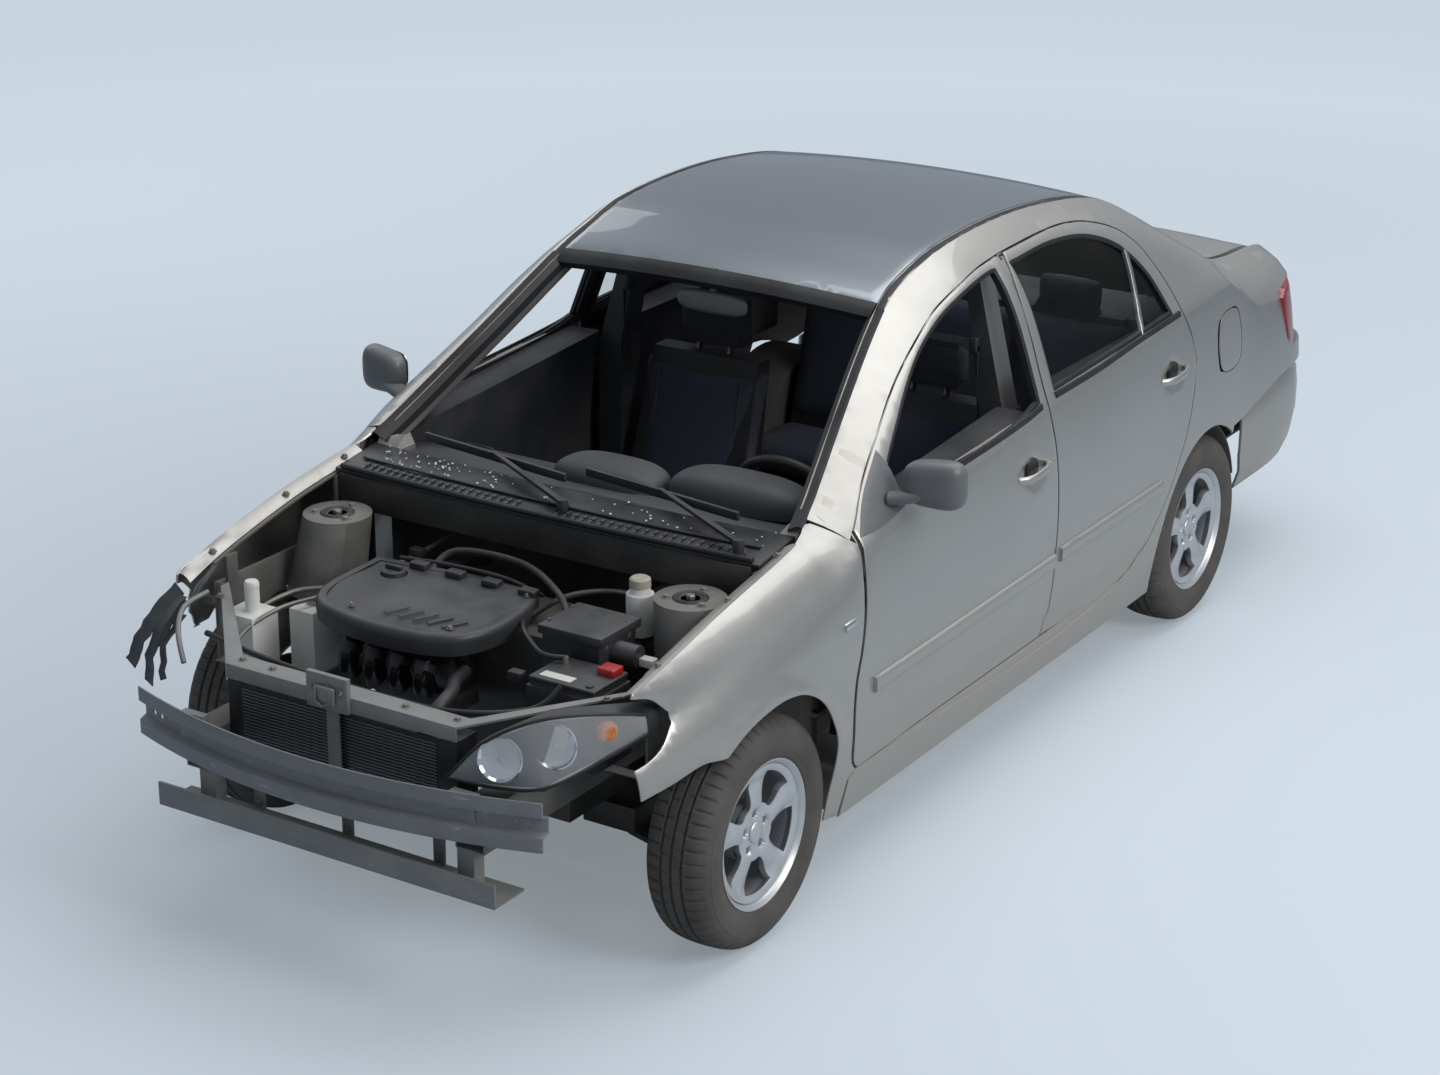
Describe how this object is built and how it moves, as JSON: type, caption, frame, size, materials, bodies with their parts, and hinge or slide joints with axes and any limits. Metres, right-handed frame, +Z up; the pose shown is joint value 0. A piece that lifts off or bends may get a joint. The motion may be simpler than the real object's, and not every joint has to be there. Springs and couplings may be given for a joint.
{
  "type": "crash-damaged compact four-door saloon car",
  "caption": "Silver four-door saloon after a frontal crash, bonnet and front bumper gone, with opening doors and boot, steering and turning wheels.",
  "frame": {"origin": "on the ground under the middle of the car's length and width", "axes": "+Z up, -Y towards the front of the car, +X towards the car's left side"},
  "size_m": [1.9536, 4.4049, 1.4909],
  "materials": {
    "silver_paint": "satin, dusty",
    "tyre_rubber": "dusty",
    "wheel_alloy": "satin lacquer",
    "dull_body_steel": "matt",
    "scuffed_grey_steel": "scuffed",
    "black_plastic": "grained",
    "cast_metal": "cast",
    "pale_plastic": "moulded",
    "lamp_glass": "hazed",
    "red_lens": "moulded",
    "window_glass": "tinted",
    "dark_trim": "grained",
    "seat_fabric": "woven",
    "chassis_steel": "grimy"
  },
  "bodies": {
    "root": {"underbody": "dull_body_steel", "body_side_left": "silver_paint", "body_side_right": "silver_paint", "roof_panel": "silver_paint", "rear_shelf": "dark_trim", "back_panel": "dull_body_steel", "firewall": "dull_body_steel", "inner_wings": "dull_body_steel", "front_wing_left": "silver_paint", "front_wing_right": "silver_paint", "upper_tie_bar": "scuffed_grey_steel", "lower_crossmember": "scuffed_grey_steel", "crash_beam": "scuffed_grey_steel", "radiator": "black_plastic", "engine_block": "cast_metal", "engine_cover": "black_plastic", "intake_manifold": "black_plastic", "battery": "black_plastic", "air_filter_box": "black_plastic", "fluid_bottles": "pale_plastic", "headlamp_left": "lamp_glass", "cowl_cover": "black_plastic", "wiper_arms": "black_plastic", "dashboard": "dark_trim", "front_seats": "seat_fabric", "rear_seat": "seat_fabric", "rear_bumper": "silver_paint", "tail_lamps": "red_lens", "rear_window": "window_glass", "rear_axle": "chassis_steel", "front_subframe": "chassis_steel", "exhaust": "chassis_steel", "fuel_tank": "dull_body_steel"},
    "front_door_left": {"door_front_left": "silver_paint", "door_mirror_left": "black_plastic"},
    "rear_door_left": {"door_rear_left": "silver_paint"},
    "steer_left": {"knuckle_left": "chassis_steel"},
    "front_wheel_left": {"tyre_front_left": "tyre_rubber", "rim_front_left": "wheel_alloy"},
    "rear_wheel_left": {"tyre_rear_left": "tyre_rubber", "rim_rear_left": "wheel_alloy"},
    "front_door_right": {"door_front_right": "silver_paint", "door_mirror_right": "black_plastic"},
    "rear_door_right": {"door_rear_right": "silver_paint"},
    "steer_right": {"knuckle_right": "chassis_steel"},
    "front_wheel_right": {"tyre_front_right": "tyre_rubber", "rim_front_right": "wheel_alloy"},
    "rear_wheel_right": {"tyre_rear_right": "tyre_rubber", "rim_rear_right": "wheel_alloy"},
    "boot": {"boot_lid": "silver_paint"},
    "flap": {"fuel_flap": "silver_paint"},
    "hand_wheel": {"steering_wheel": "dark_trim"}
  },
  "joints": [
    {"name": "front_door_left_hinge", "type": "hinge", "parent": "root", "child": "front_door_left", "pos_m": [0.812, -0.945, 0.6], "axis": [0, 0, -1], "range_deg": [0, 60]},
    {"name": "rear_door_left_hinge", "type": "hinge", "parent": "root", "child": "rear_door_left", "pos_m": [0.812, 0.198, 0.6], "axis": [0, 0, -1], "range_deg": [0, 60]},
    {"name": "front_door_right_hinge", "type": "hinge", "parent": "root", "child": "front_door_right", "pos_m": [-0.812, -0.945, 0.6], "axis": [0, 0, 1], "range_deg": [0, 60]},
    {"name": "rear_door_right_hinge", "type": "hinge", "parent": "root", "child": "rear_door_right", "pos_m": [-0.812, 0.198, 0.6], "axis": [0, 0, 1], "range_deg": [0, 60]},
    {"name": "boot_lid_hinge", "type": "hinge", "parent": "root", "child": "boot", "pos_m": [0, 1.48, 0.975], "axis": [1, 0, 0], "range_deg": [0, 60]},
    {"name": "fuel_flap_hinge", "type": "hinge", "parent": "root", "child": "flap", "pos_m": [0.81897, 1.243, 0.887], "axis": [0, 0, -1], "range_deg": [0, 50]},
    {"name": "steer_left_kingpin", "type": "hinge", "parent": "root", "child": "steer_left", "pos_m": [0.6, -1.435, 0.302], "axis": [0, 0, 1], "range_deg": [-33, 33]},
    {"name": "steer_right_kingpin", "type": "hinge", "parent": "root", "child": "steer_right", "pos_m": [-0.6, -1.435, 0.302], "axis": [0, 0, 1], "range_deg": [-33, 33]},
    {"name": "steering_wheel_turn", "type": "hinge", "parent": "root", "child": "hand_wheel", "pos_m": [0.37, -0.56, 0.8], "axis": [0, 0.9063, 0.4226], "range_deg": [-545, 545]},
    {"name": "front_wheel_left_spin", "type": "hinge", "parent": "steer_left", "child": "front_wheel_left", "pos_m": [0.736, -1.435, 0.302], "axis": [1, 0, 0], "continuous": true},
    {"name": "rear_wheel_left_spin", "type": "hinge", "parent": "root", "child": "rear_wheel_left", "pos_m": [0.736, 1.165, 0.302], "axis": [1, 0, 0], "continuous": true},
    {"name": "front_wheel_right_spin", "type": "hinge", "parent": "steer_right", "child": "front_wheel_right", "pos_m": [-0.736, -1.435, 0.302], "axis": [1, 0, 0], "continuous": true},
    {"name": "rear_wheel_right_spin", "type": "hinge", "parent": "root", "child": "rear_wheel_right", "pos_m": [-0.736, 1.165, 0.302], "axis": [1, 0, 0], "continuous": true}
  ],
  "couplings": [
    {"joint": "steer_right_kingpin", "follows": "steer_left_kingpin", "ratio": 1},
    {"joint": "steering_wheel_turn", "follows": "steer_left_kingpin", "ratio": 16}
  ]
}
